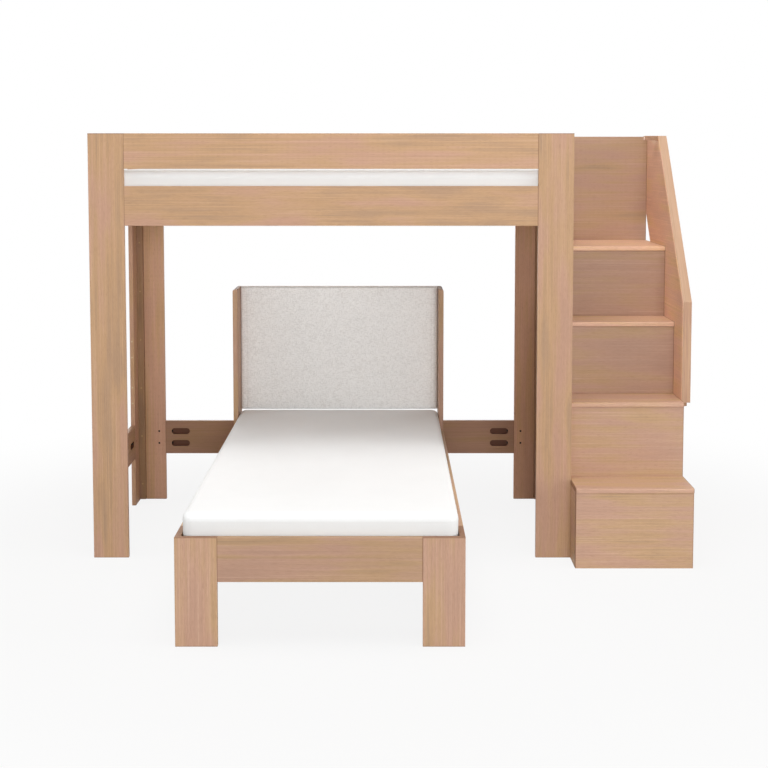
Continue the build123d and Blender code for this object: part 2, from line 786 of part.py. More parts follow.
for side, corner in bed_corners.items():
    x, y, in_x, in_y = corner
    face_places = [x_joint(corner, h) for h in bed_bolts]
    side_places = [y_joint(corner, h) for h in bed_bolts]
    wing_places = [
        Plane(origin=(x + in_x * plank / 2, wing_front, h), x_dir=(in_x, 0, 0), z_dir=(0, 1, 0))
        for h in bed_bolts
    ]
    into_face, into_side = batten_screws(corner, leg_screw_heights)
    bed_joints += face_places + side_places + wing_places
    leg_screw_places += into_face + into_side

    with BuildPart() as face_plank:
        board(between(x, x + in_x * post_width), between(y, y + in_y * plank), (0, bed_rail_top))
        fillet(face_plank.edges(), eased)
        cut(post_cut.part, face_places)
        cut(batten_screw_hole, into_face)
    write(face_plank, f"bed_leg_{side}_face_plank")

    with BuildPart() as side_plank:
        board(
            between(x, x + in_x * plank),
            between(y + in_y * plank, y + in_y * post_width),
            (0, bed_rail_top),
        )
        fillet(side_plank.edges(), eased)
        cut(post_cut.part, side_places)
        cut(batten_screw_hole, into_side)
        cut(short_screw_hole, bed_ledger_screws[side])
    write(side_plank, f"bed_leg_{side}_side_plank")

    with BuildPart() as side_rail:
        board(
            between(x, x + in_x * plank),
            (bed_front + post_width, wing_front),
            (bed_rail_bottom, bed_rail_top),
        )
        fillet(side_rail.edges(), eased)
        cut(rail_cut.part, side_places + wing_places)
        cut(short_screw_hole, bed_ledger_screws[side])
    write(side_rail, f"bed_{side}_side_rail")

    with BuildPart() as wing:
        board(between(x, x + in_x * wing_thickness), (wing_front, bed_rear), (0, headboard_top))
        upper = wing.edges().filter_by(Axis.Y).group_by(Axis.Z)[-1].sort_by(Axis.X)
        outer = upper[0] if in_x > 0 else upper[-1]
        fillet(outer, wing_round)
        fillet(wing.faces().sort_by(Axis.Y)[0].edges(), eased)
        cut(post_cut.part, wing_places)
        cut(short_screw_hole, wing_ledger_screws[side])
        cut(guard_screw_hole, wing_screws[side])
    write(wing, f"headboard_wing_{side}")

with BuildPart() as front_rail:
    board(
        (bed_left + post_width, bed_right - post_width),
        (bed_front, bed_front + plank),
        (bed_rail_bottom, bed_rail_top),
    )
    fillet(front_rail.edges(), eased)
    cut(rail_cut.part, [x_joint(corner, h) for corner in bed_corners.values() for h in bed_bolts])
write(front_rail, "bed_front_rail")

between_wings = (bed_left + wing_thickness, bed_right - wing_thickness)
head_span = (bed_rear - plank, bed_rear)
for name, bottom, top in (
    ("bed_head_rail", bed_rail_bottom, bed_rail_top),
    ("headboard_panel", headboard_bottom, headboard_top),
):
    with BuildPart() as head_board:
        board(between_wings, head_span, (bottom, top))
        fillet(head_board.edges(), eased)
        cut(guard_screw_hole, wing_screws["left"] + wing_screws["right"])
    write(head_board, name)

# Lower bed: corner battens, ledgers along the rails and the wings, and the slats on them
bed_slat_places = evenly(
    bed_front + plank + slat_margin + slat_width / 2,
    bed_rear - plank - slat_margin - slat_width / 2,
    slat_count,
)
slat_ends = (between_wings[0] + slat_gap, between_wings[1] - slat_gap)
bed_slat_screws = [
    Plane(origin=(x, y, bed_slat_top))
    for y in bed_slat_places
    for x in (
        (slat_ends[0] + bed_left + plank + ledger_width) / 2,
        (slat_ends[1] + bed_right - plank - ledger_width) / 2,
    )
]

with BuildPart() as bed_battens:
    for x, y, in_x, in_y in bed_corners.values():
        board(
            between(x + in_x * plank, x + in_x * (plank + batten_width)),
            (y + plank, y + plank + batten_depth),
            (batten_foot, bed_ledger_bottom),
        )
    cut(batten_screw_hole, leg_screw_places)
with BuildPart() as bed_ledgers:
    for side, (x, y, in_x, in_y) in bed_corners.items():
        board(
            between(x + in_x * plank, x + in_x * (plank + ledger_width)),
            (bed_front + plank, wing_front),
            (bed_ledger_bottom, bed_slat_bottom),
        )
    cut(short_screw_hole, bed_ledger_screws["left"] + bed_ledger_screws["right"] + bed_slat_screws)
with BuildPart() as wing_ledgers:
    for side, (x, y, in_x, in_y) in bed_corners.items():
        board(
            between(x + in_x * wing_thickness, x + in_x * (wing_thickness + ledger_width)),
            (wing_front, bed_rear - plank),
            (bed_ledger_bottom, bed_slat_bottom),
        )
    cut(short_screw_hole, wing_ledger_screws["left"] + wing_ledger_screws["right"] + bed_slat_screws)
bed_carriers = Compound(
    children=[*bed_battens.part.solids(), *bed_ledgers.part.solids(), *wing_ledgers.part.solids()]
)
bed_carriers.label = "bed_battens_and_ledgers"
export_step(bed_carriers, "parts/bed_battens_and_ledgers.step")

with BuildPart() as bed_slats:
    for y in bed_slat_places:
        board(slat_ends, (y - slat_width / 2, y + slat_width / 2), (bed_slat_bottom, bed_slat_top))
    fillet(bed_slats.edges(), eased)
    cut(short_screw_hole, bed_slat_screws)
write(bed_slats, "bed_slats")

with BuildPart() as bed_connectors:
    with Locations(*bed_joints):
        add(bolt_shape.part)
        add(nut_shape.part)
write(bed_connectors, "bed_bolts_and_barrel_nuts")

with BuildPart() as bed_screws:
    with Locations(*leg_screw_places):
        add(batten_screw_shape)
    with Locations(*bed_ledger_screws["left"], *bed_ledger_screws["right"], *bed_slat_screws):
        add(short_screw_shape)
    with Locations(*wing_ledger_screws["left"], *wing_ledger_screws["right"]):
        add(short_screw_shape)
    with Locations(*wing_screws["left"], *wing_screws["right"]):
        add(guard_screw_shape)
write(bed_screws, "bed_screws")


def crown_radius(length, width, crown):
    """Radius of the sphere that falls by the crown from the middle to the corners."""
    reach = math.hypot(length, width) / 2
    return (reach**2 + crown**2) / (2 * crown)


# Headboard pad: fabric over a thin firm filling, against the panel, its front crowned
pad_width = between_wings[1] - between_wings[0] - 2 * pad_gap
pad_front = bed_rear - plank - pad_thickness
pad_radius = crown_radius(pad_width, headboard_height, pad_crown)
pad_middle = (headboard_bottom + headboard_top) / 2
with BuildPart() as pad:
    with BuildSketch(Plane.XZ.offset(plank - bed_rear)):
        with Locations((loft_middle, pad_middle)):
            Rectangle(pad_width, headboard_height)
    extrude(amount=pad_thickness)
    with Locations((loft_middle, pad_front + pad_radius, pad_middle)):
        Sphere(pad_radius, mode=Mode.INTERSECT)
    fillet(pad.edges().filter_by(Axis.Y), pad_round)
    fillet(pad.faces().sort_by(Axis.Y)[0].edges(), pad_round)
write(pad, "headboard_pad")

# Mattresses: rounded slabs with a slightly crowned top, lying loose on the slats
mattress_radius = crown_radius(mattress_length, mattress_width, mattress_crown)
bed_mattress_middle = bed_front + plank + bed_mattress_front_gap + mattress_length / 2
for name, x, y, turn, slats_top in (
    ("upper_mattress", loft_middle, (loft_front + loft_rear) / 2, 0, loft_slat_top),
    ("lower_mattress", loft_middle, bed_mattress_middle, 90, bed_slat_top),
):
    bottom = slats_top + lift_gap
    with BuildPart() as mattress:
        with BuildSketch(Plane.XY.offset(bottom)):
            with Locations(Location((x, y, 0), (0, 0, turn))):
                RectangleRounded(mattress_length, mattress_width, mattress_corner)
        extrude(amount=mattress_thickness)
        with Locations((x, y, bottom + mattress_thickness - mattress_radius)):
            Sphere(mattress_radius, mode=Mode.INTERSECT)
        fillet(mattress.faces().sort_by(Axis.Z)[-1].edges(), mattress_edge)
        fillet(mattress.faces().sort_by(Axis.Z)[0].edges(), mattress_edge)
    write(mattress, name)
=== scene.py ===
import math

import bpy
import numpy as np
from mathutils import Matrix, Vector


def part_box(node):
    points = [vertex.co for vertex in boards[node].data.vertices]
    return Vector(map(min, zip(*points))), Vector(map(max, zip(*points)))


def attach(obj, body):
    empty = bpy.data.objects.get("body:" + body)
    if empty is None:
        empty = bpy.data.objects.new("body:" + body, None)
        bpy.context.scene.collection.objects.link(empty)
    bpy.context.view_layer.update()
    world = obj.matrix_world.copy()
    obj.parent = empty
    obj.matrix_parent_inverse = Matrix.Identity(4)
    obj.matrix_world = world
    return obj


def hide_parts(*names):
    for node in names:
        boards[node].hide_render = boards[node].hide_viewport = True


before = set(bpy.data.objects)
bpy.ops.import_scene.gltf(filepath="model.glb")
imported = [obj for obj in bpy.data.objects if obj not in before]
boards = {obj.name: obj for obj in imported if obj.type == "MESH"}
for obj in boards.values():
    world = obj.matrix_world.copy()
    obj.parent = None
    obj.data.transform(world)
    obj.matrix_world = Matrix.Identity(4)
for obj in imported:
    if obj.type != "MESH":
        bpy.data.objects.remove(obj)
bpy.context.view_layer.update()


# The room: a pale studio floor that runs back to a white wall of light, so the bed stands on
# plain white. A soft lamp hangs overhead and one stands off each of the four sides, and the
# white room fills the shade.
class Wire:
    """One socket of a material's nodes. Sums, products and powers that start from a wire add Math
    nodes, as does a number less a wire, and add() adds any other node.
    """

    def __init__(self, tree, socket=None):
        self.tree = tree
        self.socket = socket

    def feed(self, node, sockets):
        """Links each named or numbered socket of the node to its wire, or sets its plain value."""
        for name, value in sockets.items():
            if isinstance(value, Wire):
                self.tree.links.new(value.socket, node.inputs[name])
            else:
                node.inputs[name].default_value = value

    def add(self, kind, settings, sockets, out=0):
        """Adds one node, with its settings first, and returns the wire of its output."""
        node = self.tree.nodes.new(kind)
        for name, value in settings.items():
            if name == "stops":
                ends = node.color_ramp.elements
                ends[0].position, ends[0].color = value[0]
                ends[1].position, ends[1].color = value[-1]
                for place, colour in value[1:-1]:
                    ends.new(place).color = colour
            else:
                setattr(node, name, value)
        self.feed(node, sockets)
        return Wire(self.tree, node.outputs[out])

    def math(self, operation, first, second=0.0):
        """One Math node on two wires or numbers."""
        return self.add("ShaderNodeMath", {"operation": operation}, {0: first, 1: second})

    def __add__(self, other):
        return self.math("ADD", self, other)

    def __sub__(self, other):
        return self.math("SUBTRACT", self, other)

    def __rsub__(self, other):
        return self.math("SUBTRACT", other, self)

    def __mul__(self, other):
        return self.math("MULTIPLY", self, other)

    def __pow__(self, power):
        return self.math("POWER", self, power)

    def above(self, level, softness):
        """0 below the level and 1 above it, with a smooth step as wide as twice the softness."""
        sockets = {"Value": self, "From Min": level - softness, "From Max": level + softness}
        return self.add("ShaderNodeMapRange", {"interpolation_type": "SMOOTHSTEP"}, sockets)

    def turned(self, turn=(0, 0, 0), shift=(0, 0, 0), scale=(1, 1, 1)):
        """The vector scaled, then turned, then shifted."""
        sockets = {"Vector": self, "Rotation": turn, "Location": shift, "Scale": scale}
        return self.add("ShaderNodeMapping", {}, sockets)

    def split(self):
        """The three parts of a vector."""
        node = self.add("ShaderNodeSeparateXYZ", {}, {0: self}).socket.node
        return [Wire(self.tree, part) for part in node.outputs]

    def cloud(self, stretch, detail=2.0, rough=0.5):
        """Noise from 0 to 1 on this vector, with so many lumps to a metre along each axis."""
        place = self.turned(scale=stretch)
        sockets = {"Vector": place, "Scale": 1.0, "Detail": detail, "Roughness": rough}
        return place.add("ShaderNodeTexNoise", {}, sockets)

    def dimmed(self, factor):
        """A colour times a number."""
        return self.add("ShaderNodeVectorMath", {"operation": "SCALE"}, {0: self, 3: factor})

    def mixed(self, other, share):
        """This colour with so large a share of the other one."""
        return self.add("ShaderNodeMix", {"data_type": "RGBA"}, {0: share, 6: self, 7: other}, out=2)

    def between(self, first, second):
        """The colour between two plain ones, the second where this wire is 1."""
        return self.add("ShaderNodeMix", {"data_type": "RGBA"}, {0: self, 6: first, 7: second}, out=2)

    def ramp(self, stops):
        """The colour that this wire's value picks between the stops, each a place and a colour."""
        return self.add("ShaderNodeValToRGB", {"stops": stops}, {0: self})

    def raised(self, depth, strength=1.0):
        """A bump whose height is this wire times the depth in metres."""
        return self.add("ShaderNodeBump", {}, {"Height": self, "Distance": depth, "Strength": strength})


def paint(red, green, blue):
    """The linear colour for one named from 0 to 255: its share to the power 2.4, near enough."""
    shares = np.array([red, green, blue]) / 255
    linear = np.where(shares <= 0.04045, shares / 12.92, ((shares + 0.055) / 1.055) ** 2.4)
    return (*linear, 1.0)


def seen_directly(start):
    """1 for rays from the camera, mirrors and glass, 0 for the light that falls on the bed."""
    rays = start.add("ShaderNodeLightPath", {}, {}).socket.node.outputs
    kinds = ("Camera", "Glossy", "Transmission")
    camera, mirror, glass = (Wire(start.tree, rays[f"Is {kind} Ray"]) for kind in kinds)
    return camera.math("MAXIMUM", camera, camera.math("MAXIMUM", mirror, glass))


room_white = (1.0, 1.0, 1.0, 1.0)
room_cream = (1.0, 0.95, 0.90, 1.0)
room_fill = 0.33
world = bpy.data.worlds.new("white_room")
world.use_nodes = True
bpy.context.scene.world = world
bpy.context.scene.view_settings.view_transform = "Standard"
room = Wire(world.node_tree)
room_seen = seen_directly(room)
room_colour = room_seen.between(room_cream, room_white)
room_strength = room_seen * (1.0 - room_fill) + room_fill
room.feed(world.node_tree.nodes["Background"], {"Color": room_colour, "Strength": room_strength})

floor_half = 30.0
floor_glow, glow_from, glow_full = 0.87, 1.5, 3.4
floor_chalk = paint(208, 208, 208)
floor_finish = bpy.data.materials.new("pale_floor")
floor_finish.use_nodes = True
floor_tree = floor_finish.node_tree
ground = Wire(floor_tree)
spread = ground.add("ShaderNodeTexCoord", {}, {}, out="Object")
reach = spread.add("ShaderNodeVectorMath", {"operation": "LENGTH"}, {0: spread}, out="Value")
far_share = reach.above((glow_from + glow_full) / 2, (glow_full - glow_from) / 2)
chalk = ground.add("ShaderNodeBsdfDiffuse", {}, {"Color": floor_chalk})
glow = ground.add("ShaderNodeEmission", {}, {"Color": room_white, "Strength": 1.0})
glow_share = seen_directly(ground) * (far_share * (1.0 - floor_glow) + floor_glow)
pale = ground.add("ShaderNodeMixShader", {}, {0: glow_share, 1: chalk, 2: glow})
ground.feed(floor_tree.nodes["Material Output"], {"Surface": pale})
floor_mesh = bpy.data.meshes.new("floor")
square = ((-1, -1), (1, -1), (1, 1), (-1, 1))
floor_corners = [(x * floor_half, y * floor_half, 0.0) for x, y in square]
floor_mesh.from_pydata(floor_corners, [], [(0, 1, 2, 3)])
floor_mesh.materials.append(floor_finish)
floor = bpy.data.objects.new("floor", floor_mesh)
bpy.context.scene.collection.objects.link(floor)


def hang_lamp(name, watts, place, aim, width):
    """A square soft lamp at a place, facing a point."""
    lamp = bpy.data.lights.new(name, "AREA")
    lamp.energy = watts
    lamp.size = width
    hung = bpy.data.objects.new(name, lamp)
    hung.location = place
    away = np.array(place) - np.array(aim)
    tilt = math.atan2(math.hypot(away[0], away[1]), away[2])
    hung.rotation_euler = (tilt, 0, math.atan2(away[1], away[0]) + math.pi / 2)
    bpy.context.scene.collection.objects.link(hung)


hang_lamp("overhead_lamp", 168, (0.1, -1.2, 5.3), (0.0, -0.2, 0.6), 4.0)
hang_lamp("front_lamp", 440, (0.8, -10.0, 1.6), (0.0, 0.4, 0.8), 3.4)
hang_lamp("rear_lamp", 300, (-1.4, 10.0, 2.6), (0.0, 0.4, 0.8), 3.4)
hang_lamp("right_lamp", 220, (8.0, -2.2, 2.2), (0.0, 0.2, 0.8), 3.0)
hang_lamp("left_lamp", 115, (-8.0, -1.6, 2.4), (0.0, 0.2, 0.8), 3.0)

# The camera stands in front of the open side of the loft, a little lower than its top, and looks
# slightly down. The lens is shifted down as well, so upright posts stay nearly upright.
lens = bpy.data.cameras.new("front_camera")
lens.sensor_width = 36.0
lens.lens = 63.42
lens.shift_x = -0.0026
lens.shift_y = -0.165
camera_place = (-0.0344, -5.6382, 1.7050)
camera_pitch = math.radians(4.255)
camera = bpy.data.objects.new("front_camera", lens)
camera.location = camera_place
camera.rotation_euler = (math.pi / 2 - camera_pitch, 0, 0)
bpy.context.scene.collection.objects.link(camera)
bpy.context.scene.camera = camera

# The loft's four posts: each is an L of two 20 mm planks of solid light hardwood, glued and
# screwed to a batten in the corner. The wood is waxed, straight in the grain, and honey to pink.
grain_turns = {"x": (0, 0, 0), "y": (0, 0, -math.pi / 2), "z": (0, math.pi / 2, 0)}
wood_tones = [
    (0.24, paint(184, 153, 124)),
    (0.40, paint(196, 161, 124)),
    (0.51, paint(195, 159, 130)),
    (0.62, paint(193, 155, 133)),
    (0.78, paint(185, 149, 129)),
]
pore_brown = paint(132, 94, 68)
pale_fleck = paint(210, 182, 157)
# Routed pockets and drilled holes get painted shade in this dark brown.
pocket_painted_shade = paint(88, 46, 26)
# A deeper brown: partly the boards' own tone, partly painted warm bounce light on boards in shade.
deep_honey_and_painted_bounce = paint(186, 131, 88)
wax_gloss = 0.28
end_stain, drill_shade_share = 0.7, 0.9
grain_depth, grain_strength = 0.00025, 0.6
# The rear stretcher and the rear guard panel carry painted shade on their front faces only.
rear_faces_without_painted_shade = {"loft_rear_stretcher": 1.0, "stair_rear_guard_panel": 1.0}


def new_finish(name):
    """A named material, its shader and the wire of its Object coordinates."""
    finish = bpy.data.materials.new(name)
    finish.use_nodes = True
    shader = finish.node_tree.nodes["Principled BSDF"]
    return finish, shader, Wire(finish.node_tree).add("ShaderNodeTexCoord", {}, {}, out="Object")


def wood_grain(place, facing, along, log, warmth=0.0, tone_and_painted_light=1.0, honey_and_painted_bounce=0.0):
    """The colour, roughness and height of wood whose grain runs along an axis.

    Growth rings are circles about a pith line far outside the board: the distance to it, divided
    by the width of a ring, leaves a remainder whose fourth power is the dark late wood. Clouds
    that are long with the grain and short across it give the patches, bands, streaks and fibres.
    Warmth moves the tone from honey towards pink. The brightness number lightens or darkens the whole
    board:
    partly its own tone, partly painted light and shade for where it stands among the lamps. Honey is the
    share of a deeper, more yellow brown: partly the board's tone, partly painted warm bounce light in
    shade.
    """
    chance = np.random.default_rng(log)
    shift = tuple(chance.uniform(2.0, 9.0, 3))
    pith_angle, pith_far = chance.uniform(0.0, math.tau), chance.uniform(0.16, 0.34)
    ring_width, ring_wander = 0.0052, 0.016
    patch_share, band_share, streak_share, least_tone = 1.1, 0.4, 0.3, -0.40
    timber = place.turned(grain_turns[along], shift)
    wander = (timber.cloud((1.1, 5.0, 5.0)) - 0.5) * ring_wander
    _, across, through = timber.split()
    across = across + wander + (math.cos(pith_angle) * pith_far - shift[1])
    through = through + wander + (math.sin(pith_angle) * pith_far - shift[2])
    pith_gap = (across * across + through * through) ** 0.5
    ring = pith_gap.math("FRACT", pith_gap * (1.0 / ring_width))
    late_wood = ring ** 4.0
    patch = timber.cloud((2.6, 15.0, 15.0), 2.0, 0.5)
    band = timber.cloud((0.9, 62.0, 62.0), 2.0, 0.5)
    streak = timber.cloud((2.0, 230.0, 230.0), 3.0, 0.65)
    fibre = timber.cloud((22.0, 1300.0, 1300.0))
    pore = timber.cloud((45.0, 1900.0, 1900.0), 0.0).above(0.66, 0.05)
    tone = patch * patch_share + band * band_share + streak * streak_share + (warmth + least_tone)
    colour = tone.ramp(wood_tones)
    light = (streak * 0.36 + 0.82) * (band * 0.16 + 0.92) * (patch * 0.18 + 0.91) * (fibre * 0.10 + 0.95)
    light = light * (1.0 - late_wood * 0.07)
    colour = colour.mixed(pale_fleck, streak.above(0.62, 0.08) * 0.28).mixed(deep_honey_and_painted_bounce, honey_and_painted_bounce)
    colour = colour.dimmed(light * tone_and_painted_light).mixed(pore_brown, pore * 0.30)
    end_wood = facing.turned(grain_turns[along]).split()[0]
    end_wood = end_wood.math("ABSOLUTE", end_wood).above(0.75, 0.1)
    colour = colour.dimmed(1.0 - end_wood * 0.16)
    roughness = fibre * 0.10 + end_wood * 0.12 + (0.50 - late_wood * 0.05)
    return colour, roughness, fibre * 0.5 + late_wood * 0.35 - pore * 0.8


def inside_board(place, node):
    """1 where a point lies deeper than a sanded edge within the node's box, as in a hole, else 0."""
    skin = 0.0008
    inside = None
    for part, low, high in zip(place.split(), *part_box(node)):
        span = part.math("GREATER_THAN", part, low + skin) * part.math("LESS_THAN", part, high - skin)
        inside = span if inside is None else inside * span
    return inside


def board_ends(place, node, along):
    """1 on the last few millimetres at either end, where the end grain soaks up the wax, else 0."""
    soaked = 0.0025
    axis = "xyz".index(along)
    low, high = (corner[axis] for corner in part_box(node))
    from_middle = place.split()[axis] - (low + high) / 2
    return from_middle.math("ABSOLUTE", from_middle).above((high - low) / 2 - soaked, soaked / 3)


def dress(node, finish):
    """A board that the model brings keeps its shape and takes the finish."""
    boards[node].data.materials.clear()
    boards[node].data.materials.append(finish)


def wax(node, along, log, warmth=0.0, tone_and_painted_light=1.0, honey_and_painted_bounce=0.0, drilled=True):
    """Gives one board its waxed wood. What the drill and the router opened gets painted shade, dark as
    the inside of a hole.

    Where a board's front face is darkened with painted shade, its rear face, picked by the facing along
    Y, gets a level of its own.
    """
    finish, shader, place = new_finish(f"{node}_wax")
    facing = place.add("ShaderNodeTexCoord", {}, {}, out="Normal")
    if node in rear_faces_without_painted_shade:
        tone_and_painted_light = facing.split()[1].above(0.6, 0.25) * (rear_faces_without_painted_shade[node] - tone_and_painted_light) + tone_and_painted_light
    shader.inputs["Specular IOR Level"].default_value = wax_gloss
    colour, roughness, height = wood_grain(place, facing, along, log, warmth, tone_and_painted_light, honey_and_painted_bounce)
    colour = colour.mixed(pore_brown, board_ends(place, node, along) * end_stain)
    if drilled:
        colour = colour.mixed(pocket_painted_shade, inside_board(place, node) * drill_shade_share)
    bump = height.raised(grain_depth, grain_strength)
    place.feed(shader, {"Base Color": colour, "Roughness": roughness, "Normal": bump})
    dress(node, finish)


# Each corner's pair of brightness numbers is partly the planks' tone and partly painted light: the rear
# posts under the loft are lightened.
for log, (corner, warmth, tones_and_painted_light, honey_and_painted_bounce) in enumerate((
    ("front_left", -0.02, (0.91, 0.98), 0.14), ("front_right", -0.02, (0.88, 0.96), 0.14),
    ("rear_left", 0.06, (1.18, 1.10), 0.22), ("rear_right", 0.06, (1.22, 1.0), 0.26),
)):
    for side, part in enumerate(("face_plank", "side_plank")):
        wax(f"loft_post_{corner}_{part}", "z", 11 + 2 * log + side, warmth, tones_and_painted_light[side], honey_and_painted_bounce)

# The loft's rails: guard rails round the top, wider side and end rails that carry the bed, and
# stretchers near the floor. Each is one plank set flush between the posts on M6 bolts.
# The brightness numbers are partly tone and partly painted shade; the rear stretcher is darkened most.
# Rails away from the front take more deep brown: partly tone, partly painted warm bounce light.
front_tone, other_tone_and_painted_bounce = (-0.07, 0.16), (0.04, 0.36)
for log, (node, along, tone_and_painted_light) in enumerate((
    ("loft_front_guard_rail", "x", 0.92), ("loft_front_side_rail", "x", 0.90),
    ("loft_rear_guard_rail", "x", 0.97), ("loft_rear_side_rail", "x", 1.0),
    ("loft_rear_stretcher", "x", 0.70), ("loft_left_guard_rail", "y", 1.0),
    ("loft_left_end_rail", "y", 0.98), ("loft_left_stretcher", "y", 0.92),
    ("loft_right_guard_rail", "y", 1.0), ("loft_right_end_rail", "y", 0.97),
    ("loft_right_stretcher", "y", 0.92), ("loft_entry_stile", "z", 1.0),
)):
    warmth, honey_and_painted_bounce = front_tone if node.startswith("loft_front") else other_tone_and_painted_bounce
    wax(node, along, 31 + log, warmth, tone_and_painted_light, honey_and_painted_bounce)

# Inside the loft: corner battens and the ledgers that carry the slats are plain planed softwood,
# left without wax, and so are the fourteen slats, screwed across the bed.
def plane_inner_wood(node, along, log, ledger_height=None, ledger_along=None, tone_and_painted_light=1.0):
    """Unwaxed wood; above the height where the ledgers start, the grain runs along them."""
    finish, shader, place = new_finish(f"{node}_planed")
    shader.inputs["Specular IOR Level"].default_value = wax_gloss / 2
    facing = place.add("ShaderNodeTexCoord", {}, {}, out="Normal")
    colour, roughness, height = wood_grain(place, facing, along, log, 0.0, tone_and_painted_light, 0.15)
    if ledger_height is not None:
        ledger = place.split()[2].above(ledger_height, 0.0005)
        other = wood_grain(place, facing, ledger_along, log + 1)
        colour = colour.mixed(other[0], ledger)
        height = height + ledger * (other[2] - height)
    bump = height.raised(0.0004, 0.7)
    place.feed(shader, {"Base Color": colour, "Roughness": roughness + 0.18, "Normal": bump})
    dress(node, finish)


loft_ledger_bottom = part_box("loft_front_side_rail")[0].z
# The battens and ledgers are darkened with painted shade.
plane_inner_wood("loft_battens_and_ledgers", "z", 51, loft_ledger_bottom, "x", tone_and_painted_light=0.74)
plane_inner_wood("loft_slats", "y", 54)

# Fasteners: blackened M6 bolts with barrel nuts in the rails' slotted pockets, and yellow plated
# screws in battens and ledgers. The plugs in the side planks' edges are pale end-grain dowels.
def plated_steel(name, light, dark, sheen):
    """Plated steel: small crystals of a lighter and a darker tone, each a cell, rubbed in clouds."""
    finish, shader, place = new_finish(name)
    cells = place.add("ShaderNodeTexVoronoi", {}, {"Vector": place, "Scale": 900.0}, out="Color")
    crystal = cells.split()[0]
    rub = place.cloud((260.0, 260.0, 260.0), 3.0)
    colour = (crystal * 0.5 + rub * 0.3).between(light, dark)
    shader.inputs["Metallic"].default_value = 1.0
    place.feed(shader, {"Base Color": colour, "Roughness": crystal * 0.12 + rub * 0.15 + sheen})
    return finish


black_steel = plated_steel("blackened_steel", paint(62, 56, 52), paint(34, 30, 28), 0.34)
yellow_steel = plated_steel("yellow_plated_steel", paint(204, 176, 132), paint(168, 138, 100), 0.28)
for node in ("loft_bolts_and_barrel_nuts", "bed_bolts_and_barrel_nuts"):
    dress(node, black_steel)
for node in ("loft_screws", "stair_screws_and_tie_bolts", "bed_screws"):
    dress(node, yellow_steel)

plug_pale = paint(226, 205, 170)
plug_ring = paint(196, 168, 128)
plug_finish, plug_shader, plug_place = new_finish("pale_plug_wood")
plug_rings = plug_place.cloud((420.0, 1500.0, 1500.0), 2.0)
plug_colour = plug_rings.between(plug_pale, plug_ring)
plug_place.feed(plug_shader, {"Base Color": plug_colour, "Roughness": plug_rings * 0.2 + 0.45,
                              "Normal": plug_rings.raised(0.0002)})
dress("loft_edge_plugs", plug_finish)

# The stair: four closed steps between two stepped side panels, with plain risers, a back panel
# and a rear guard panel. The grain lies level on all of them, and cleats hold them from inside.
# The brightness numbers paint light and shade on the steps: risers darker and treads lighter towards the
# top, the rear guard panel darker and the top cleat lighter.
for log, (node, along, warmth, tone_and_painted_light) in enumerate((
    ("stair_riser_1", "x", 0.05, 0.96), ("stair_riser_2", "x", 0.04, 0.90),
    ("stair_riser_3", "x", 0.06, 0.77), ("stair_riser_4", "x", 0.07, 0.75),
    ("stair_tread_1", "x", 0.05, 1.05), ("stair_tread_2", "x", 0.05, 1.07),
    ("stair_tread_3", "x", 0.05, 1.22), ("stair_tread_4", "x", 0.06, 1.38),
    ("stair_left_side_panel", "y", 0.03, 1.0), ("stair_right_side_panel", "y", 0.03, 1.0),
    ("stair_back_panel", "x", 0.03, 1.0), ("stair_rear_guard_panel", "x", 0.05, 0.76),
    ("stair_guard_ledge", "y", 0.02, 1.0), ("stair_guard_top_cleat", "y", 0.05, 1.3),
)):
    wax(node, along, 71 + log, warmth, tone_and_painted_light, drilled=False)
plane_inner_wood("stair_cleats", "x", 91)

# The slanted guard board: a 39 mm board with level grain, with painted light on the side of the steps.
# Its edge is lipped with strips of solid wood that run along it, golden on the slope and finely
# striped on the upright front.
lip_gold = [(0.3, paint(192, 159, 134)), (0.5, paint(187, 153, 126)), (0.7, paint(178, 144, 119))]
lip_stripe = [(0.3, paint(200, 168, 136)), (0.45, paint(172, 134, 114)), (0.55, paint(195, 158, 126)),
              (0.7, paint(178, 138, 118))]
guard_finish, guard_shader, guard_place = new_finish("guard_board_wax")
guard_facing = guard_place.add("ShaderNodeTexCoord", {}, {}, out="Normal")
guard_shader.inputs["Specular IOR Level"].default_value = wax_gloss
board_side = guard_facing.split()[0]
# The face towards the steps is lightened with painted light, since no lamp reaches it.
guard_tone, guard_left_painted_light = 1.04, 0.42
guard_painted_light = (board_side * -1.0).above(0.6, 0.25) * guard_left_painted_light + guard_tone
guard_wood = wood_grain(guard_place, guard_facing, "y", 95, 0.08, guard_painted_light)
guard_colour, guard_rough, guard_height = guard_wood
slope_foot = 1.082
lip_lines = guard_place.cloud((260.0, 3.0, 3.0), 2.0, 0.6)
on_slope = guard_place.split()[2].above(slope_foot, 0.002)
lip_colour = lip_lines.ramp(lip_stripe).mixed(lip_lines.ramp(lip_gold), on_slope)
lip_share = 1.0 - board_side.math("ABSOLUTE", board_side).above(0.6, 0.25)
guard_bump = guard_height.raised(grain_depth, grain_strength)
guard_place.feed(guard_shader, {"Base Color": guard_colour.mixed(lip_colour, lip_share),
                                "Roughness": guard_rough, "Normal": guard_bump})
dress("stair_guard_board", guard_finish)

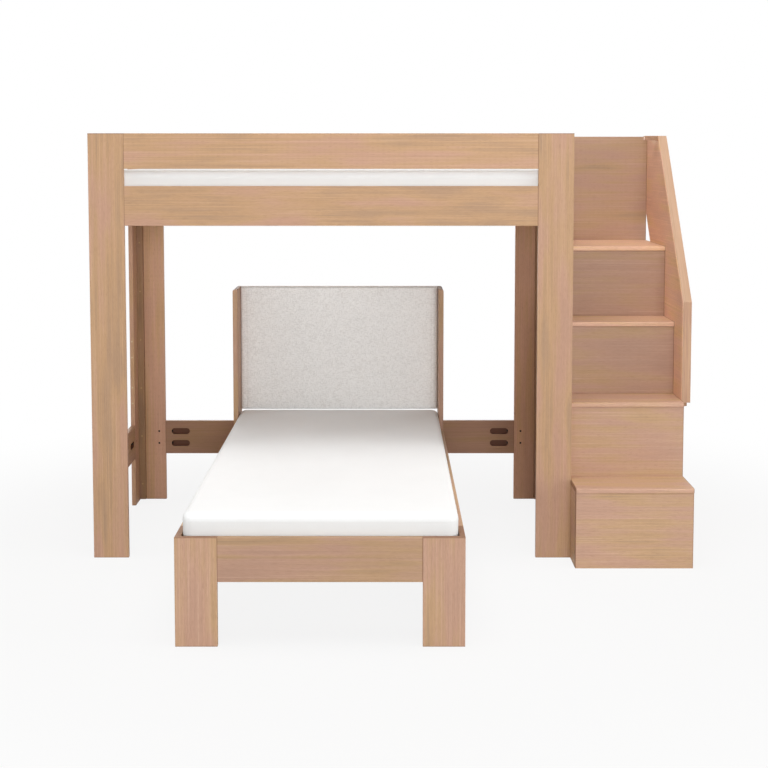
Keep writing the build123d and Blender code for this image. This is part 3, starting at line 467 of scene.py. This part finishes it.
# The lower bed: front legs of two planks each, a front rail, long side rails and a head rail.
# Its headboard wings are two wide boards that reach the floor and serve as the rear legs.
# The brightness numbers are partly the boards' tone and partly painted shade; the front rail and the
# right wing are darkened most.
for log, (node, along, warmth, tone_and_painted_light) in enumerate((
    ("bed_leg_left_face_plank", "z", 0.02, 0.96), ("bed_leg_left_side_plank", "z", 0.03, 0.97),
    ("bed_leg_right_face_plank", "z", 0.03, 0.92), ("bed_leg_right_side_plank", "z", 0.04, 0.97),
    ("bed_front_rail", "x", 0.0, 0.82), ("bed_left_side_rail", "y", 0.02, 1.0),
    ("bed_right_side_rail", "y", 0.02, 1.0), ("bed_head_rail", "x", 0.04, 1.0),
    ("headboard_panel", "x", 0.04, 1.0), ("headboard_wing_left", "z", 0.13, 0.93),
    ("headboard_wing_right", "z", 0.07, 0.82),
)):
    wax(node, along, 101 + log, warmth, tone_and_painted_light, 0.06)
bed_ledger_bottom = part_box("bed_front_rail")[0].z + 0.006
plane_inner_wood("bed_battens_and_ledgers", "z", 121, bed_ledger_bottom, "y")
plane_inner_wood("bed_slats", "x", 124)


# The two mattresses: foam in a white knitted cover, with rounded edges and a fine taped seam round
# the top and the bottom. They are the same size and lie on the slats. Cloth lets the cover swell.
def box_skin(lines):
    """The six faces of a box as one welded grid: each face takes two of the three lists of lines."""
    points, quads, count = [], [], 0
    for axis in range(3):
        first, second = (axis + 1) % 3, (axis + 2) % 3
        u, v = np.meshgrid(lines[first], lines[second], indexing="ij")
        number = np.arange(u.size).reshape(u.shape)
        for end in (0, -1):
            face = np.empty((u.size, 3))
            face[:, axis] = lines[axis][end]
            face[:, first], face[:, second] = u.ravel(), v.ravel()
            corners = [number[:-1, :-1], number[1:, :-1], number[1:, 1:], number[:-1, 1:]]
            if end == 0:
                corners.reverse()
            quads.append(np.stack([c.ravel() for c in corners], 1) + count)
            points.append(face)
            count += u.size
    points, quads = np.concatenate(points), np.concatenate(quads)
    _, first_seen, merged = np.unique(np.round(points, 6), axis=0, return_index=True, return_inverse=True)
    return points[first_seen], merged.ravel()[quads]


def graded_lines(half, border, border_step, step):
    """Places from -half to half, border_step apart in the border at each end and step apart between."""
    edge = np.linspace(0.0, border, round(border / border_step) + 1)
    middle = np.linspace(-half + border, half - border, max(2, round(2 * (half - border) / step)))
    return np.concatenate([-half + edge[:-1], middle, (half - edge[:-1])[::-1]])


def rounded_slab(half, corner, edge, lines):
    """A slab with round corners in plan and a round edge above and below, centred on zero.

    In each corner square, a point keeps its larger offset as its distance from the corner's
    centre, which turns the square into a quarter disc. Across the edge the same is done with the
    distance out from the edge's centre line and the height above it.
    """
    points, quads = box_skin(lines)
    over = np.maximum(np.abs(points[:, :2]) - (half[:2] - corner), 0.0)
    far = over.max(1)
    out = np.sign(points[:, :2]) * over / np.maximum(np.hypot(*over.T), 1e-9)[:, None]
    inner = np.sign(points[:, :2]) * (np.abs(points[:, :2]) - over)
    past = np.maximum(far - (corner - edge), 0.0)
    high = np.maximum(np.abs(points[:, 2]) - (half[2] - edge), 0.0)
    swing = np.maximum(past, high) / np.maximum(np.hypot(past, high), 1e-9)
    points[:, :2] = inner + out * (far - past + past * swing)[:, None]
    points[:, 2] = np.sign(points[:, 2]) * (np.abs(points[:, 2]) - high + high * swing)
    return points, quads


def mesh_piece(name, points, quads, finish):
    """A smooth shaded piece from arrays of points and four-sided faces."""
    mesh = bpy.data.meshes.new(name)
    mesh.from_pydata(points, [], quads.tolist())
    mesh.materials.append(finish)
    mesh.shade_smooth()
    piece = bpy.data.objects.new(name, mesh)
    bpy.context.scene.collection.objects.link(piece)
    return piece


def points_of(mesh, what="co"):
    """The points of a mesh, or their outward directions, as rows of three numbers."""
    rows = np.empty(len(mesh.vertices) * 3)
    if what == "co":
        mesh.vertices.foreach_get("co", rows)
    else:
        mesh.vertex_normals.foreach_get("vector", rows)
    return rows.reshape(-1, 3)


def let_cover_swell(points, quads, held, push, most):
    """Lets the foam swell the cover: Cloth under pressure with no gravity, for twenty frames.

    The held points stay where they are. Each other point's way is eased to the most it may
    move, by the hyperbolic tangent of way over most.
    """
    trial = mesh_piece("swelling_cover", points, quads, cover_finish)
    trial.vertex_groups.new(name="held").add(np.flatnonzero(held).tolist(), 1.0, "REPLACE")
    cloth = trial.modifiers.new("swell", "CLOTH")
    cloth.settings.vertex_group_mass = "held"
    cloth.settings.use_pressure = True
    cloth.settings.uniform_pressure_force = push
    cloth.settings.effector_weights.gravity = 0.0
    cloth.settings.quality = 5
    cloth.point_cache.frame_start, cloth.point_cache.frame_end = 1, 20
    for moment in range(1, 21):
        bpy.context.scene.frame_set(moment)
    way = points_of(trial.evaluated_get(bpy.context.evaluated_depsgraph_get()).data) - points
    bpy.data.objects.remove(trial)
    bpy.context.scene.frame_set(1)
    far = np.maximum(np.linalg.norm(way, axis=1), 1e-9)[:, None]
    return points + way * most * np.tanh(far / most) / far


def smooth_once(piece):
    """One subdivision, applied."""
    rounds = piece.modifiers.new("smooth", "SUBSURF")
    rounds.levels = rounds.render_levels = 1
    finer = bpy.data.meshes.new_from_object(piece.evaluated_get(bpy.context.evaluated_depsgraph_get()))
    piece.modifiers.clear()
    piece.data = finer


tape_drop, tape_reach, tape_width, tape_groove = 0.031, 0.0006, 0.0030, 0.15
border_drop, border_blend = 0.026, 0.020
cover_white = paint(246, 248, 249)
cover_shade = paint(236, 238, 239)
border_painted_shade = paint(222, 223, 223)
cover_finish, cover_shader, cover_place = new_finish("knitted_cover")
knit = cover_place.cloud((700.0, 420.0, 700.0), 1.0)
nap = cover_place.cloud((9.0, 9.0, 9.0), 3.0)
cover_colour = (knit * 0.35 + nap * 0.3).between(cover_white, cover_shade)
# The band round the mattress sides is painted shade, darker than the lit top.
side_band_shade = None
for node in ("upper_mattress", "lower_mattress"):
    low, high = (corner.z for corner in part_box(node))
    beside = cover_place.split()[2] - (low + high) / 2
    band = 1.0 - beside.math("ABSOLUTE", beside).above((high - low) / 2 - border_drop, border_blend)
    side_band_shade = band if side_band_shade is None else side_band_shade.math("MAXIMUM", side_band_shade, band)
cover_colour = cover_colour.mixed(border_painted_shade, side_band_shade * 0.8)
cover_shader.inputs["Sheen Weight"].default_value = 0.1
cover_shader.inputs["Specular IOR Level"].default_value = 0.2
cover_place.feed(cover_shader, {"Base Color": cover_colour, "Roughness": knit * 0.1 + 0.82,
                                "Normal": knit.raised(0.0006, 0.7)})

mattress_corner, mattress_edge = 0.040, 0.024
swell_room = 0.002
pucker_length, pucker_depth, pucker_fade = 0.017, 0.0005, 0.016

mattress_half = (np.array(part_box("upper_mattress")[1]) - np.array(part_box("upper_mattress")[0])) / 2
slab_half = mattress_half - (tape_reach, tape_reach, swell_room / 2)
slab_points, slab_quads = rounded_slab(slab_half, mattress_corner, mattress_edge, [
    graded_lines(slab_half[0], 0.042, 0.006, 0.026), graded_lines(slab_half[1], 0.042, 0.006, 0.026),
    graded_lines(slab_half[2], 0.040, 0.004, 0.012)])
slab_points[:, 2] -= swell_room / 2
on_slats = slab_points[:, 2] < -mattress_half[2] + 0.0005
slab_points = let_cover_swell(slab_points, slab_quads, on_slats, 4.0, swell_room)
slab_points[:, :2] *= (mattress_half[:2] - tape_reach) / np.abs(slab_points[:, :2]).max(0)


def make_mattress(name, node):
    """A mattress in the box of its node. Its seams are beads beside shallow grooves, with puckers."""
    low, high = (np.array(corner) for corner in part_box(node))
    piece = mesh_piece(name, slab_points, slab_quads, cover_finish)
    smooth_once(piece)
    points, way_out = points_of(piece.data), points_of(piece.data, "normal")
    from_seam = np.abs(np.abs(points[:, 2]) - (mattress_half[2] - tape_drop))
    bead = np.exp(-(from_seam / tape_width) ** 2)
    bead -= tape_groove * np.exp(-((from_seam - 2 * tape_width) / tape_width) ** 2)
    along = np.where(np.abs(way_out[:, 0]) > np.abs(way_out[:, 1]), points[:, 1], points[:, 0])
    pucker = np.sin(math.tau * along / pucker_length + 2.0 * np.sin(along * 9.0))
    pucker *= np.exp(-from_seam / pucker_fade)
    on_side = np.clip(2.0 - 4.0 * np.abs(way_out[:, 2]), 0.0, 1.0)
    points += way_out * (on_side * (bead * tape_reach + pucker * pucker_depth))[:, None]
    if high[1] - low[1] > high[0] - low[0]:
        points = np.stack([-points[:, 1], points[:, 0], points[:, 2]], 1)
    points = np.clip(points + (low + high) / 2, low, high)
    piece.data.vertices.foreach_set("co", points.ravel())
    piece.data.update()
    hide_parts(node)
    return piece


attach(make_mattress("loft_mattress_cover", "upper_mattress"), "upper_mattress")
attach(make_mattress("bed_mattress_cover", "lower_mattress"), "lower_mattress")

# The headboard pad: a foam panel covered in a pale tweed with small slubs both ways. The fabric
# rolls back along the sides, where it meets the wings, and is fixed to the panel behind it.
pad_roll_width, pad_roll_depth, pad_top_roll = 0.028, 0.010, 0.009
pad_foot_roll, pad_most_fall = 0.004, 0.018
pad_swell, pad_loose_share = 0.0025, 0.7
crease_depth, crease_width, crease_behind_front = 0.0010, 0.0025, 0.006
tweed_pale = paint(246, 246, 245)
tweed_grey = paint(236, 236, 235)
tweed_slub = paint(200, 199, 196)
tweed_finish, tweed_shader, tweed_place = new_finish("pale_tweed")
weft = tweed_place.cloud((70.0, 70.0, 330.0), 2.0)
warp = tweed_place.cloud((330.0, 70.0, 70.0), 2.0)
slub = tweed_place.cloud((60.0, 60.0, 260.0), 1.0).above(0.60, 0.06)
rise_slub = tweed_place.cloud((260.0, 60.0, 60.0), 1.0).above(0.62, 0.06)
weave = weft.math("MAXIMUM", weft, warp)
tweed_colour = (weave - 0.1).ramp([(0.38, tweed_grey), (0.54, tweed_pale)])
tweed_colour = tweed_colour.mixed(tweed_slub, slub.math("MAXIMUM", slub, rise_slub) * 0.34)
tweed_shader.inputs["Sheen Weight"].default_value = 0.2
tweed_shader.inputs["Specular IOR Level"].default_value = 0.2
tweed_place.feed(tweed_shader, {"Base Color": tweed_colour, "Roughness": weave * 0.2 + 0.75,
                                "Normal": weave.raised(0.0012, 0.9)})


def make_pad(name, node):
    """The pad: a box grid whose front falls back along its edges as quarter ellipses, then swells.

    The skin is loose only near the front. A fine crease runs up the front beside each rolled side.
    """
    low, high = (np.array(corner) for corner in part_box(node))
    half = (high - low) / 2
    half[1] -= pad_swell / 2
    across = graded_lines(half[0], 0.032, 0.004, 0.016)
    upward = graded_lines(half[2], 0.016, 0.004, 0.016)
    points, quads = box_skin([across, np.linspace(-half[1], half[1], 5), upward])
    front = (half[1] - points[:, 1]) / (2 * half[1])
    in_side = np.clip(1 - (half[0] - np.abs(points[:, 0])) / pad_roll_width, 0, 1)
    roll = np.where(points[:, 2] > 0, pad_top_roll, pad_foot_roll)
    in_end = np.clip(1 - (half[2] - np.abs(points[:, 2])) / roll, 0, 1)
    fall = pad_roll_depth * (1 - np.sqrt(1 - in_side ** 2)) + roll * (1 - np.sqrt(1 - in_end ** 2))
    points[:, 1] += np.minimum(fall, pad_most_fall) * front + pad_swell / 2
    points = let_cover_swell(points, quads, front < pad_loose_share, 2.0, pad_swell) + (low + high) / 2
    piece = mesh_piece(name, points, quads, tweed_finish)
    smooth_once(piece)
    points = points_of(piece.data)
    from_crease = np.abs(np.abs(points[:, 0] - (low + high)[0] / 2) - (half[0] - pad_roll_width))
    in_front = points[:, 1] < low[1] + crease_behind_front
    points[:, 1] += crease_depth * np.exp(-(from_crease / crease_width) ** 2) * in_front
    piece.data.vertices.foreach_set("co", np.clip(points, low, high).ravel())
    piece.data.update()
    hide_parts(node)
    return piece


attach(make_pad("headboard_tweed_pad", "headboard_pad"), "lower_bed")
